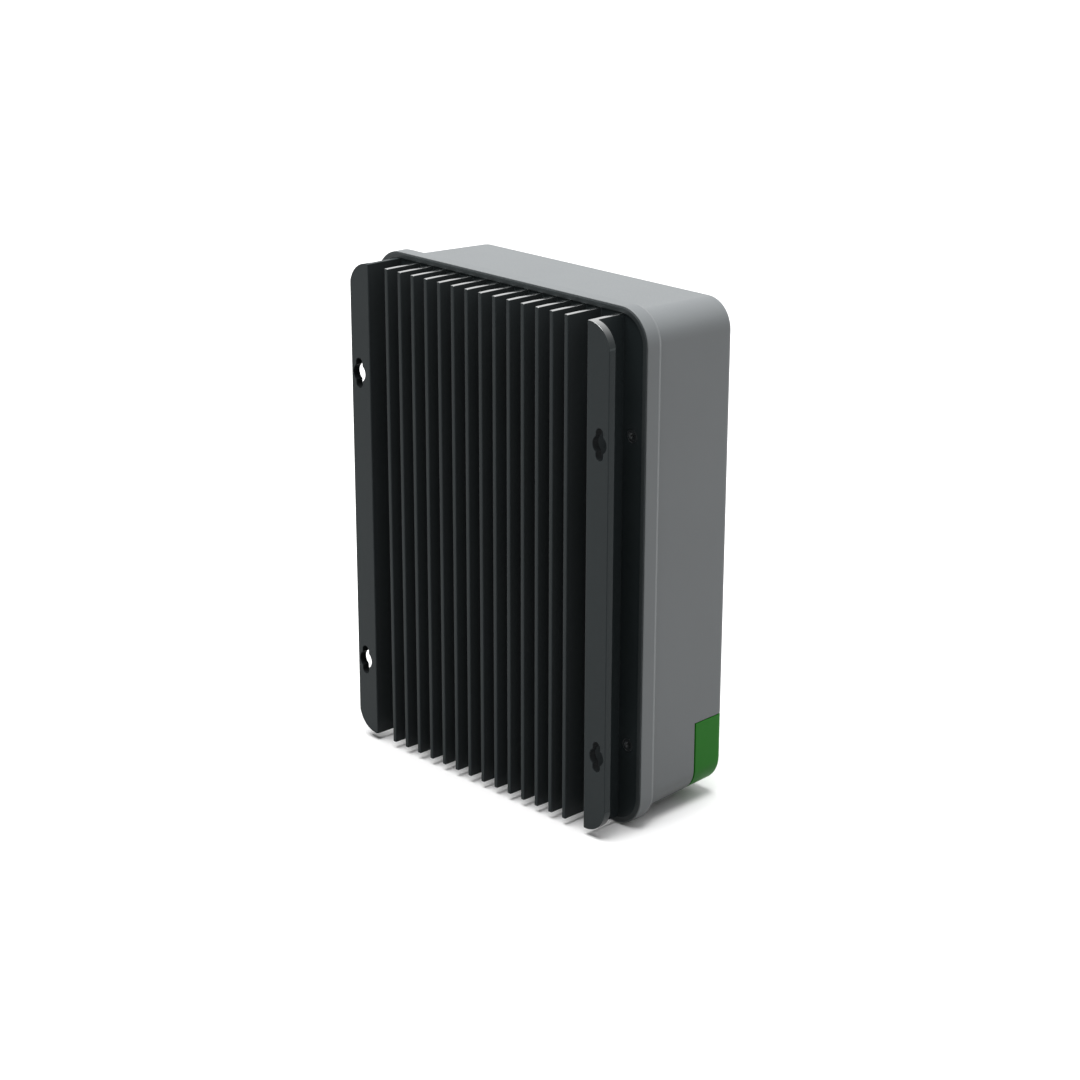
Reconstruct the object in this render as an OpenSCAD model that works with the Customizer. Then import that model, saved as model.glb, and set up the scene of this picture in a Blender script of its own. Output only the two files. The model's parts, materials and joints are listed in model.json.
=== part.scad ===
// Wall-mounted solar charge controller: finned heatsink with two keyhole flanges, a moulded housing that the
// heatsink closes from behind, a coloured terminal cover, and the electronics between them.
// X runs across the unit, +Y points into the wall, +Z is up. The origin is the centre of the four keyholes,
// in the plane that lies on the wall.

/* [Overall] */
// Width over the rim at the back of the housing
overall_w = 176; // [168:1:190]
// Height over the rim at the back of the housing
overall_h = 238; // [230:1:250]
// Depth from the wall to the front face
overall_d = 77; // [74:1:84]
// Outer corner radius of the rim
corner_r = 16; // [12:1:20]

/* [Wall mounting] */
// Height between the upper and the lower keyholes
keyhole_spacing = 143; // [135:1:150]
// How far the housing's centre lies above the keyholes' centre
body_rise = 8; // [4:1:12]
// Diameter of a keyhole's round middle, which a screw head passes
keyhole_d = 8.4; // [7:0.2:9]
// Width of a keyhole's two slots
slot_w = 4.5; // [3.5:0.1:5.5]
// Length over both slots
slot_length = 14.4; // [12:0.2:16]
// From the flange's outer edge to the keyhole's centre
keyhole_inset = 5.4; // [5:0.1:6]
// Width of a mounting flange
flange_w = 13.2; // [12.6:0.2:15]
// Thickness of a mounting flange
flange_t = 3.8; // [3:0.2:5]
// Thickness of the web that carries a flange
web_t = 2.4; // [2:0.2:3]
// From the plate's edge in to the flange's outer edge
flange_inset = 0.6; // [0:0.2:3]

/* [Heatsink] */
// Number of cooling fins
fin_count = 14; // [10:1:16]
// Distance from fin to fin
fin_pitch = 9; // [7.5:0.1:9.4]
// Thickness of a fin
fin_t = 2.2; // [1.6:0.1:3]
// Depth of the fins, from the wall to the plate
fin_depth = 19.5; // [17:0.5:22]
// Thickness of the plate
plate_t = 5; // [4:0.5:7]

/* [Housing] */
// Width of the raised border around the plate's field, with the housing's edge outside it
rim_w = 2.8; // [2:0.2:4]
// How far the border stands behind the plate's field
rim_proud = 0.5; // [0:0.1:1]
// Thickness of the border where it lies over the housing's rim
border_t = 1.5; // [1.2:0.1:2.5]
// How far the border stays inside the rim's outer edge
border_inset = 0.5; // [0.3:0.1:1]
// Thickness of the ledge that the seal lies on
ledge_t = 2.5; // [2:0.5:4]
// How far the band at the back stands out from the sides
band_step = 3; // [2:0.5:4]
// Wall thickness of the housing
wall_t = 2.6; // [2:0.2:3.2]
// How much each side leans in from back to front
draft = 1.5; // [0:0.25:3]
// Rounding of the front edge
front_r = 3; // [1:0.5:4]
// Thickness of the seal between plate and housing
seal_t = 1; // [0.6:0.2:1.6]

/* [Terminals] */
// Height of the terminal bay, from the housing's underside
bay_h = 37; // [34:1:44]
// Depth of the terminal bay, from the front face
bay_d = 19; // [16:1:21]
// Wall thickness of the terminal cover
cover_t = 2.2; // [1.8:0.2:3]
// Number of cable terminals
pole_count = 6; // [4:1:6]
// Width of one terminal
pole_pitch = 17; // [15.6:0.2:17.4]
// Side of the square hole that takes a cable
cable_hole = 9; // [7:0.5:10]
// Wall thickness of a clamp cage
cage_t = 1.4; // [1:0.2:2]
// From the rim's outer edge in to the cover's screws
cover_screw_inset = 13; // [12:1:16]

/* [Front panel] */
// Width of the display window
window_w = 64; // [50:1:70]
// Height of the display window
window_h = 44; // [36:1:50]
// Height of the window's centre above the middle of the housing
window_z = 44; // [38:1:50]
// Thickness of the window
window_t = 1.2; // [0.8:0.2:1.6]
// Diameter of a key
key_d = 11; // [9:0.5:13]
// Distance from key to key
key_pitch = 20; // [17:1:22]
// Height of the keys above the middle of the housing
key_z = -2; // [-6:1:2]
// How far a key stands out of the front
key_proud = 0.8; // [0.6:0.1:1.5]
// How far a key travels
key_travel = 0.5; // [0.3:0.1:0.7]
// Diameter of an indicator light's lens
light_d = 3.6; // [3:0.2:5]
// Distance from light to light
light_pitch = 16; // [12:1:20]

/* [Electronics] */
// Height of the main board
board_h = 150; // [140:1:160]
// Thickness of a circuit board
board_t = 1.6; // [1.2:0.2:2]
// Height of the spacers under the main board
spacer_h = 8; // [7:0.5:10]
// Outer diameter of an inductor
inductor_d = 40; // [34:1:46]
// Height of an inductor
inductor_h = 20; // [16:1:22]
// Diameter of a capacitor
capacitor_d = 18; // [14:1:22]
// Space that the display stack needs behind the front wall
display_gap = 6.4; // [5.8:0.2:8]

/* [Hidden] */
$fn = 48;
hull_fn = 32;
over = 1; // how far a cut runs past the face it opens
bite = 0.1; // how far joined solids reach into each other
film = 0.01; // thickness of one layer of a blended solid
fit_gap = 0.2; // between pieces that fit into each other
slide_gap = 0.15; // between a screw or plunger and its hole
part_line = 0.3; // visible joint between housing and terminal cover

// depths, measured forward from the wall
plate_back = fin_depth;
plate_front = plate_back + plate_t;
border_back = plate_back - rim_proud;
border_front = border_back + border_t;
rim_back = border_front + fit_gap;
ledge_back = plate_front + seal_t;
body_back = ledge_back + ledge_t;
front_inner = overall_d - wall_t;
bay_back = overall_d - bay_d;
board_back = plate_front + spacer_h;
board_front = board_back + board_t;
display_front = front_inner - display_gap;
display_back = display_front - board_t;

// outlines, across and up
body_w = overall_w - 2 * band_step;
body_h = overall_h - 2 * band_step;
body_r = corner_r - band_step;
plate_w = overall_w - 2 * rim_w - 2 * fit_gap;
plate_h = overall_h - 2 * rim_w - 2 * fit_gap;
plate_r = corner_r - rim_w - fit_gap;
field_w = overall_w - 2 * rim_w;
field_h = overall_h - 2 * rim_w;
field_r = corner_r - rim_w;
heatsink_low = body_rise - plate_h / 2;
body_low = body_rise - body_h / 2;
bay_top = body_low + bay_h;

// mounting
flange_edge = plate_w / 2 - flange_inset;
web_inner = flange_edge - flange_w;
keyhole_x = flange_edge - keyhole_inset;
keyhole_z = keyhole_spacing / 2;

// screws: shank, head and bore sizes
screw_d = 3;
pilot_d = screw_d + 2 * slide_gap;
flat_head_d = 5.6;
flat_head_h = (flat_head_d - screw_d) / 2;
pan_head_d = 5.6;
pan_head_h = 1.8;
drive_w = 0.7;
drive_l = 3;
drive_deep = 0.9;
housing_screw_l = 16;
boss_r = 4;
boss_l = 16;
small_screw_d = 2.4;
small_pilot_d = small_screw_d + 2 * slide_gap;
small_head_d = 4.4;
small_head_h = 1.4;
tail = 0.6; // empty depth of a blind bore past the screw's tip
head_set = 0.05; // how far a flat head sits below its face

// main board and what stands on it
board_edge_gap = 1;
board_w = 2 * (keyhole_x - boss_r - board_edge_gap);
board_lift = 5;
board_low = body_low + wall_t + board_lift;
spacer_r = 3.2;
spacer_inset = 6;
lower_spacer_rise = 48;
board_bore_deep = 3;
board_screw_l = 6;
pad_t = 0.5;
pad_margin = 4;
transistor_w = 15.6;
transistor_l = 20;
transistor_body_t = 4;
transistor_pitch = 20;
transistor_rise = 62;
transistor_z = board_low + transistor_rise;
lead_share = 0.3; // of a transistor's length
lead_rise = 2;
tab_t = 1.4;
tab_reach = 4;
lead_w = 1.2;
lead_t = 0.6;
lead_pitch = 5;
lead_reach = 3;
inductor_hole = 0.4;
inductor_inset = 38;
inductor_x = board_w / 2 - inductor_inset;
inductor_edge = 6;
inductor_z = board_low + board_h - inductor_d / 2 - inductor_edge;
capacitor_pitch = 30;
capacitor_inset = 29;
capacitor_rise = 62;
capacitor_x = -board_w / 2 + capacitor_inset;
capacitor_z = board_low + capacitor_rise;
capacitor_clear = 2.3;
capacitor_h = display_back - board_front - capacitor_clear;

// terminals
pole_floor = 1.6;
block_w = pole_count * pole_pitch;
cover_post_r = 4.2;
cover_screw_x = overall_w / 2 - cover_screw_inset;
post_gap = 0.8;
block_x = -cover_screw_x + cover_post_r + post_gap + block_w / 2;
block_nose = 2;
block_front = bay_back + block_nose;
block_low = inner_low(block_front) + part_line;
cage_w = cable_hole + 2 * cage_t;
cage_front_t = 2.4;
cage_h = 9;
cage_gap = 0.15;
cage_rise = 5;
cage_low = block_low + cage_rise;
cage_top = cage_low + cage_h;
block_top = cage_top + pole_floor + cage_gap;
terminal_screw_d = 5;
terminal_screw_end = 0.2;
slot_drive_w = 1.2;
slot_drive_deep = 1.2;
terminal_head_d = 6.4;
terminal_head_h = 2.6;
head_recess = 2.2;
cage_d = cage_t + cable_hole + cage_front_t;
cage_room = block_front - head_recess - terminal_head_h - board_front - cage_d;
cage_share = 0.41; // of that room lies behind the cage, and the rest is the screw's travel
cage_back = board_front + cage_share * cage_room;
cage_front = cage_back + cage_d;
terminal_screw_z = (cage_low + cage_top) / 2;
nose_h = 13;
nose_low = terminal_screw_z - nose_h / 2;
nose_top = terminal_screw_z + nose_h / 2;
cover_screw_rise = 17;
cover_screw_z = body_low + cover_screw_rise;
cover_head_deep = 2.4;
cover_boss_l = 10;
cover_screw_grip = 6;
cover_screw_l = bay_d + cover_screw_grip;

// sockets for a data lead and a temperature sensor
socket_z = 18;
data_w = 16;
data_d = 13.5;
data_mouth_w = 12;
data_mouth_d = 8;
socket_deep = 13;
socket_gap = 2;
data_x = block_x + block_w / 2 + socket_gap + data_w / 2;
sensor_w = 10;
sensor_d = 8;
sensor_mouth_w = 6.4;
sensor_mouth_d = 4.8;
sensor_x = data_x + data_w / 2 + socket_gap + sensor_w / 2;
socket_low = inner_low(board_front + data_d) + part_line;
mouth_margin = 0.6;

// front panel
window_lap = 3;
window_fit = 0.2;
panel_lap = 2;
panel_gap = 0.1;
key_flange = 1;
key_flange_t = 1;
key_hole_gap = 0.2;
key_seat = 0.2; // between a key's flange and the front wall at rest
key_back = front_inner - key_seat - key_flange_t;
switch_w = 6.2;
switch_h = 2.9;
plunger_d = 3.4;
plunger_sunk = 1.2;
plunger_room = 0.4;
light_rise = 11;
light_z = window_z + window_h / 2 + light_rise;
light_proud = 0.3;
light_flange = 0.8;
display_margin = 12;
display_w = max(window_w, 3 * key_pitch + key_d) + 2 * display_margin;
display_edge = 8;
display_top = light_z + display_edge;
display_low = key_z - key_d / 2 - display_edge;
display_boss_r = 3.4;
display_screw_end = 1.5;
display_screw_l = display_gap + board_t - display_screw_end;
display_inset = 4.5;

// Height of the housing's inner underside at a depth
function inner_low(depth) = body_low + wall_t + draft * (depth - body_back) / (overall_d - body_back);

// Raises a flat outline, drawn across and up, between two depths
module slab(from, to) {
    translate([0, -from, 0]) rotate([90, 0, 0]) linear_extrude(to - from) children();
}

// A cylinder that runs forward from one depth to another
module rod(from, to, d1, d2 = undef) {
    translate([0, -from, 0]) rotate([90, 0, 0])
        cylinder(h = to - from, d1 = d1, d2 = is_undef(d2) ? d1 : d2);
}

// A rectangle with round corners, around the origin
module rounded(w, h, r) {
    square([w - 2 * r, h], center = true);
    square([w, h - 2 * r], center = true);
    for (x = [-1, 1], z = [-1, 1]) translate([x * (w / 2 - r), z * (h / 2 - r)]) circle(r);
}

// A thin rounded outline at a depth, as one layer of a blended solid
module layer(depth, w, h, r) {
    translate([0, 0, body_rise]) slab(depth - film, depth) rounded(w, h, r, $fn = hull_fn);
}

// A block given by its lowest and highest corner across and up, and two depths
module block(x0, x1, z0, z1, from, to) {
    translate([x0, -to, z0]) cube([x1 - x0, to - from, z1 - z0]);
}

// The housing's outer form in front of the band, moved in by inset: it leans in and its front edge is round
module body_form(from, to, inset) {
    lean = draft;
    w = body_w - 2 * inset;
    h = body_h - 2 * inset;
    r = max(body_r - inset, 1);
    edge = max(front_r - inset, 0.4);
    hull() {
        layer(from + film, w, h, r);
        for (a = [0 : 22.5 : 90]) {
            back = edge * (1 - sin(a));
            in = lean + edge * (1 - cos(a));
            layer(to - back, w - 2 * in, h - 2 * in, r);
        }
    }
}

// Four places that mirror each other across and up
module at_keyholes() {
    for (x = [-1, 1], z = [-1, 1]) translate([x * keyhole_x, 0, z * keyhole_z]) children();
}

// Cross recess, cut from the head's face at a depth; way is 1 where the head faces the wall
module cross_drive(face, way) {
    from = way > 0 ? face - over : face - drive_deep;
    to = way > 0 ? face + drive_deep : face + over;
    block(-drive_l / 2, drive_l / 2, -drive_w / 2, drive_w / 2, from, to);
    block(-drive_w / 2, drive_w / 2, -drive_l / 2, drive_l / 2, from, to);
}

// Flat outline of the right mounting flange, with its outer corners rounded over the whole width
module flange_outline() {
    low = heatsink_low;
    top = heatsink_low + plate_h;
    r = flange_w - web_t / 2;
    intersection() {
        translate([web_inner, low]) square([flange_w, plate_h]);
        union() {
            translate([web_inner, low + r]) square([flange_w, plate_h - 2 * r]);
            translate([web_inner, low]) square([flange_w - r, plate_h]);
            for (z = [low + r, top - r]) translate([flange_edge - r, z]) circle(r);
        }
    }
}

// Keyhole open at both ends: a round middle with a slot above and below
module keyhole_outline() {
    circle(d = keyhole_d);
    run = slot_length - slot_w;
    square([slot_w, run], center = true);
    for (z = [-1, 1]) translate([0, z * run / 2]) circle(d = slot_w);
}

module mounting_flange() {
    difference() {
        slab(0, flange_t) flange_outline();
        for (z = [-1, 1])
            slab(-over, flange_t + over) translate([keyhole_x, z * keyhole_z]) keyhole_outline();
    }
    block(web_inner, web_inner + web_t, heatsink_low, heatsink_low + plate_h, 0, plate_back + over);
}

// Outline of the border that lies over the housing's rim
module border_outline() {
    rounded(overall_w - 2 * border_inset, overall_h - 2 * border_inset, corner_r - border_inset);
}

module heatsink() {
    color([0.13, 0.14, 0.14]) difference() {
        union() {
            translate([0, 0, body_rise]) {
                slab(plate_back, plate_front) rounded(plate_w, plate_h, plate_r);
                slab(plate_back, border_front) border_outline();
                slab(border_back, plate_back + bite) difference() {
                    border_outline();
                    rounded(field_w, field_h, field_r);
                }
            }
            for (i = [0 : fin_count - 1]) {
                x = (i - (fin_count - 1) / 2) * fin_pitch;
                block(x - fin_t / 2, x + fin_t / 2, heatsink_low, heatsink_low + plate_h,
                    0, plate_back + over);
            }
            mounting_flange();
            mirror([1, 0, 0]) mounting_flange();
        }
        at_keyholes() {
            rod(plate_back - over, plate_front + over, pilot_d);
            rod(plate_back - film, plate_back + flat_head_h, flat_head_d + 2 * slide_gap, pilot_d);
        }
        at_board_corners() rod(plate_front - board_bore_deep, plate_front + over, small_pilot_d);
    }
}

// Housing: rim and band around the plate, leaning sides, front wall, terminal bay, bosses and openings
module housing() {
    cavity_w = body_w - 2 * wall_t;
    cavity_h = body_h - 2 * wall_t;
    cavity_r = body_r - wall_t;
    color([0.62, 0.64, 0.65]) difference() {
        union() {
            difference() {
                union() {
                    translate([0, 0, body_rise]) slab(rim_back, body_back)
                        rounded(overall_w, overall_h, corner_r);
                    body_form(body_back - bite, overall_d, 0);
                }
                bay_space(0);
                difference() {
                    body_form(ledge_back - over, front_inner, wall_t);
                    bay_space(wall_t);
                }
                translate([0, 0, body_rise]) slab(rim_back - over, ledge_back)
                    rounded(plate_w + 2 * fit_gap, plate_h + 2 * fit_gap, plate_r + fit_gap);
            }
            at_keyholes() rod(ledge_back, ledge_back + boss_l, 2 * boss_r);
            at_display_corners() rod(display_front, front_inner + over, 2 * display_boss_r);
            at_cover_screws() rod(bay_back - wall_t - cover_boss_l, bay_back - over, 2 * cover_post_r);
        }
        at_keyholes() rod(ledge_back - over, plate_back + housing_screw_l + tail, pilot_d);
        at_display_corners() rod(display_front - over, display_back + display_screw_l + tail, small_pilot_d);
        at_cover_screws() rod(overall_d - cover_head_deep - cover_screw_l - tail, bay_back + over, pilot_d);
        // window and its rebate
        translate([0, 0, body_rise + window_z]) {
            slab(front_inner - over, overall_d + over) square([window_w, window_h], center = true);
            slab(overall_d - window_t, overall_d + over)
                square([window_w + 2 * window_lap, window_h + 2 * window_lap], center = true);
        }
        at_keys(4) rod(front_inner - over, overall_d + over, key_d + 2 * key_hole_gap);
        at_lights(3) rod(front_inner - over, overall_d + over, light_d + 2 * slide_gap);
        // terminal block's nose and the cable, data and sensor openings in the underside
        block(block_x - block_w / 2 - part_line, block_x + block_w / 2 + part_line,
            nose_low - part_line, nose_top + part_line, bay_back - wall_t - over, bay_back + over);
        for (i = [1 : pole_count])
            underside_opening(pole_x(i), cable_hole, cage_back + cage_t, cable_hole);
        underside_opening(data_x, data_mouth_w, board_front + (data_d - data_mouth_d) / 2, data_mouth_d);
        underside_opening(sensor_x, sensor_mouth_w, board_front + (sensor_d - sensor_mouth_d) / 2,
            sensor_mouth_d);
    }
}

// Space of the terminal bay, grown upward and backward by a wall
module bay_space(wall) {
    block(-overall_w, overall_w, body_low - overall_h, bay_top + wall, bay_back - wall, overall_d + over);
}

// Opening through the housing's underside, a little wider than the mouth it leads to
module underside_opening(x, w, from, d) {
    block(x - w / 2 - mouth_margin, x + w / 2 + mouth_margin, body_low - over,
        body_low + wall_t + draft + over, from - mouth_margin, from + d + mouth_margin);
}

module seal() {
    color([0.1, 0.1, 0.1]) translate([0, 0, body_rise]) slab(plate_front, ledge_back) difference() {
        rounded(plate_w, plate_h, plate_r);
        rounded(body_w - 2 * wall_t, body_h - 2 * wall_t, body_r - wall_t);
    }
}

// Terminal cover: the lower front corner of the unit, open to the back and the top
module terminal_cover() {
    color([0.2, 0.46, 0.19]) difference() {
        union() {
            intersection() {
                difference() {
                    body_form(body_back, overall_d, 0);
                    body_form(body_back - over, overall_d - cover_t, cover_t);
                }
                block(-overall_w, overall_w, body_low - over, bay_top - part_line,
                    bay_back + part_line, overall_d + over);
            }
            at_cover_screws() rod(bay_back, overall_d - cover_t / 2, 2 * cover_post_r);
        }
        at_cover_screws() {
            rod(bay_back - over, overall_d + over, pilot_d);
            rod(overall_d - cover_head_deep, overall_d + over, pan_head_d + 4 * slide_gap);
        }
    }
}

module at_cover_screws() {
    for (x = [-1, 1]) translate([x * cover_screw_x, 0, cover_screw_z]) children();
}

module cover_screws() {
    seat = overall_d - cover_head_deep;
    color([0.75, 0.76, 0.78]) at_cover_screws() difference() {
        union() {
            rod(seat - cover_screw_l, seat + bite, screw_d);
            rod(seat, seat + pan_head_h, pan_head_d);
        }
        cross_drive(seat + pan_head_h, -1);
    }
}

module housing_screws() {
    color([0.3, 0.31, 0.32]) at_keyholes() difference() {
        union() {
            rod(plate_back + head_set, plate_back + flat_head_h, flat_head_d, screw_d);
            rod(plate_back + flat_head_h - bite, plate_back + housing_screw_l, screw_d);
        }
        cross_drive(plate_back + head_set, 1);
    }
}

// Main board and the pieces that it carries
module at_board_corners() {
    for (x = [-1, 1], z = [0, 1])
        translate([
            x * (board_w / 2 - spacer_inset),
            0,
            board_low + (z ? board_h - spacer_inset : lower_spacer_rise)
        ])
            children();
}

module main_board() {
    color([0.05, 0.28, 0.16]) difference() {
        block(-board_w / 2, board_w / 2, board_low, board_low + board_h, board_back, board_front);
        at_board_corners() rod(board_back - over, board_front + over, small_pilot_d);
    }
}

module board_spacers() {
    color([0.8, 0.72, 0.4]) at_board_corners() difference() {
        rod(plate_front, board_back, 2 * spacer_r);
        rod(plate_front - over, board_back + over, small_pilot_d);
    }
}

module board_screws() {
    color([0.75, 0.76, 0.78]) at_board_corners() difference() {
        union() {
            rod(board_front - board_screw_l, board_front + bite, small_screw_d);
            rod(board_front, board_front + small_head_h, small_head_d);
        }
        cross_drive(board_front + small_head_h, -1);
    }
}

module insulating_pad() {
    w = 5 * transistor_pitch + transistor_w + 2 * pad_margin;
    h = transistor_l + 2 * pad_margin;
    color([0.55, 0.6, 0.62])
        block(-w / 2, w / 2, transistor_z - h / 2, transistor_z + h / 2, plate_front, plate_front + pad_t);
}

module transistor(i) {
    x = (i - 3.5) * transistor_pitch;
    back = plate_front + pad_t;
    low = transistor_z - transistor_l / 2;
    split = low + transistor_l * lead_share;
    color([0.1, 0.1, 0.11]) union() {
        block(x - transistor_w / 2, x + transistor_w / 2, split, low + transistor_l - tab_reach, back,
            back + transistor_body_t);
        block(x - transistor_w / 2, x + transistor_w / 2, split, low + transistor_l, back, back + tab_t);
        for (n = [-1 : 1]) {
            mid = x + n * lead_pitch;
            block(mid - lead_w / 2, mid + lead_w / 2, split - lead_reach, split,
                back + lead_rise, back + lead_rise + lead_t);
            block(mid - lead_w / 2, mid + lead_w / 2, split - lead_reach, split - lead_reach + lead_t,
                back + lead_rise, board_back);
        }
    }
}

module inductor(i) {
    x = (i == 1 ? -1 : 1) * inductor_x;
    color([0.62, 0.36, 0.16]) translate([x, 0, inductor_z]) difference() {
        rod(board_front, board_front + inductor_h, inductor_d);
        rod(board_front - over, board_front + inductor_h + over, inductor_d * inductor_hole);
    }
}

module capacitor(i) {
    color([0.12, 0.16, 0.3]) translate([capacitor_x + (i - 1) * capacitor_pitch, 0, capacitor_z])
        rod(board_front, board_front + capacitor_h, capacitor_d);
}

// Terminals
function pole_x(i) = block_x + (i - (pole_count + 1) / 2) * pole_pitch;

module terminal_block() {
    color([0.08, 0.09, 0.09]) difference() {
        union() {
            block(block_x - block_w / 2, block_x + block_w / 2, block_low, block_top, board_front,
                bay_back - wall_t - part_line);
            block(block_x - block_w / 2, block_x + block_w / 2, nose_low, nose_top, board_front, block_front);
        }
        for (i = [1 : pole_count]) translate([pole_x(i), 0, 0]) {
            block(-cage_w / 2 - cage_gap, cage_w / 2 + cage_gap, cage_low - cage_gap, cage_top + cage_gap,
                cage_back - cage_gap, cage_front + cage_gap);
            block(-cable_hole / 2, cable_hole / 2, block_low - over, cage_low, cage_back + cage_t,
                cage_back + cage_t + cable_hole);
            translate([0, 0, terminal_screw_z])
                rod(cage_front, block_front + over, terminal_head_d + 4 * slide_gap);
        }
    }
}

module terminal_clamp(i) {
    color([0.78, 0.74, 0.6]) translate([pole_x(i), 0, 0]) difference() {
        block(-cage_w / 2, cage_w / 2, cage_low, cage_top, cage_back, cage_front);
        block(-cable_hole / 2, cable_hole / 2, cage_low - over, cage_top + over, cage_back + cage_t,
            cage_back + cage_t + cable_hole);
        translate([0, 0, terminal_screw_z])
            rod(cage_front - cage_front_t - over, cage_front + over, terminal_screw_d + 2 * slide_gap);
    }
}

module terminal_screws() {
    head_front = block_front - head_recess;
    head_back = head_front - terminal_head_h;
    tip = cage_front - cage_front_t + terminal_screw_end;
    color([0.75, 0.76, 0.78]) for (i = [1 : pole_count])
        translate([pole_x(i), 0, terminal_screw_z]) difference() {
            union() {
                rod(tip, head_back + bite, terminal_screw_d);
                rod(head_back, head_front, terminal_head_d);
            }
            block(-terminal_head_d, terminal_head_d, -slot_drive_w / 2, slot_drive_w / 2,
                head_front - slot_drive_deep, head_front + over);
        }
}

module socket(x, w, d, mouth_w, mouth_d) {
    margin = (d - mouth_d) / 2;
    difference() {
        block(x - w / 2, x + w / 2, socket_low, socket_low + socket_z, board_front, board_front + d);
        block(x - mouth_w / 2, x + mouth_w / 2, socket_low - over, socket_low + socket_deep,
            board_front + margin, board_front + margin + mouth_d);
    }
}

module data_socket() {
    color([0.15, 0.15, 0.16]) socket(data_x, data_w, data_d, data_mouth_w, data_mouth_d);
}

module sensor_socket() {
    color([0.2, 0.46, 0.19]) socket(sensor_x, sensor_w, sensor_d, sensor_mouth_w, sensor_mouth_d);
}

// Front panel
module at_display_corners() {
    low = body_rise + display_low + display_inset;
    top = body_rise + display_top - display_inset;
    for (x = [-1, 1], z = [low, top]) translate([x * (display_w / 2 - display_inset), 0, z]) children();
}

module display_board() {
    color([0.05, 0.28, 0.16]) difference() {
        block(-display_w / 2, display_w / 2, body_rise + display_low, body_rise + display_top,
            display_back, display_front);
        at_display_corners() rod(display_back - over, display_front + over, small_pilot_d);
    }
}

module display_screws() {
    color([0.75, 0.76, 0.78]) at_display_corners() difference() {
        union() {
            rod(display_back - bite, display_back + display_screw_l, small_screw_d);
            rod(display_back - small_head_h, display_back, small_head_d);
        }
        cross_drive(display_back - small_head_h, 1);
    }
}

module display_panel() {
    w = window_w + 2 * panel_lap;
    h = window_h + 2 * panel_lap;
    color([0.45, 0.52, 0.42]) translate([0, 0, body_rise + window_z])
        block(-w / 2, w / 2, -h / 2, h / 2, display_front, front_inner - panel_gap);
}

module display_window() {
    w = window_w + 2 * window_lap - 2 * window_fit;
    h = window_h + 2 * window_lap - 2 * window_fit;
    color([0.75, 0.8, 0.8, 0.5]) translate([0, 0, body_rise + window_z])
        block(-w / 2, w / 2, -h / 2, h / 2, overall_d - window_t, overall_d);
}

// Repeats a piece at every key, or moves it to one key
module at_keys(count) {
    for (i = [1 : count]) at_key(i) children();
}

module at_key(i) {
    translate([(i - 2.5) * key_pitch, 0, body_rise + key_z]) children();
}

module at_lights(count) {
    for (i = [1 : count]) at_light(i) children();
}

module at_light(i) {
    translate([(i - 2) * light_pitch, 0, body_rise + light_z]) children();
}

module key(i) {
    color([0.25, 0.26, 0.27]) at_key(i) {
        rod(key_back, key_back + key_flange_t, key_d + 2 * key_hole_gap + 2 * key_flange);
        rod(key_back, overall_d + key_proud, key_d);
    }
}

module plunger(i) {
    color([0.12, 0.12, 0.12]) at_key(i)
        rod(display_front + switch_h - plunger_sunk, key_back, plunger_d);
}

module switch(i) {
    room = plunger_sunk + key_travel + plunger_room;
    color([0.2, 0.2, 0.21]) at_key(i) difference() {
        block(-switch_w / 2, switch_w / 2, -switch_w / 2, switch_w / 2,
            display_front, display_front + switch_h);
        rod(display_front + switch_h - room, display_front + switch_h + over, plunger_d + 2 * slide_gap);
    }
}

module light_pipe(i) {
    color([0.85, 0.9, 0.85, 0.7]) at_light(i) {
        rod(display_front, overall_d + light_proud, light_d);
        rod(front_inner - light_flange - fit_gap, front_inner - fit_gap, light_d + 2 * light_flange);
    }
}

heatsink();
housing();
seal();
terminal_cover();
cover_screws();
housing_screws();
main_board();
board_spacers();
board_screws();
insulating_pad();
for (i = [1 : 6]) transistor(i);
for (i = [1 : 2]) inductor(i);
for (i = [1 : 4]) capacitor(i);
terminal_block();
for (i = [1 : pole_count]) terminal_clamp(i);
terminal_screws();
data_socket();
sensor_socket();
display_board();
display_screws();
display_panel();
display_window();
for (i = [1 : 4]) key(i);
for (i = [1 : 4]) plunger(i);
for (i = [1 : 4]) switch(i);
for (i = [1 : 3]) light_pipe(i);
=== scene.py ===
"""Looks of the solar charge controller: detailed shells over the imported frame, materials, light and camera.

Sizes are in mm and turned into metres where points are placed. Depth is measured forward from the wall, so it
is -Y of the frame.
"""
import json
import math

import bmesh
import bpy
from mathutils import Matrix, Vector
from mathutils.geometry import tessellate_polygon

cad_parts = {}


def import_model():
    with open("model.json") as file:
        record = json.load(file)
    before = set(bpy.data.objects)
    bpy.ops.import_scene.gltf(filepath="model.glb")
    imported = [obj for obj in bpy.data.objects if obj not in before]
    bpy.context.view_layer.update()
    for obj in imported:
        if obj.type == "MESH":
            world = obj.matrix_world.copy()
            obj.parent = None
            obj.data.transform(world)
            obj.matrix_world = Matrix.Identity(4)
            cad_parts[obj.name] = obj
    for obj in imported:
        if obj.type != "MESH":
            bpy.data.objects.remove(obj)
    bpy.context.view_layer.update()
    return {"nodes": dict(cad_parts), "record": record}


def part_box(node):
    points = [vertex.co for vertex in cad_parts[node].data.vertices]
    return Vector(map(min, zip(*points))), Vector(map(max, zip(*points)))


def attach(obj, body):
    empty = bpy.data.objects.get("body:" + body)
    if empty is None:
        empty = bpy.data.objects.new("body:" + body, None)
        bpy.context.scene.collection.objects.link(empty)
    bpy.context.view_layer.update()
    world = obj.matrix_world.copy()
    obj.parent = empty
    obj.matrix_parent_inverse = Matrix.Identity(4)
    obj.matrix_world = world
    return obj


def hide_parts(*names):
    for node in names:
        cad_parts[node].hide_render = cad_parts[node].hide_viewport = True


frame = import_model()
nodes = frame["nodes"]
scene = bpy.context.scene
MM = 0.001


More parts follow.
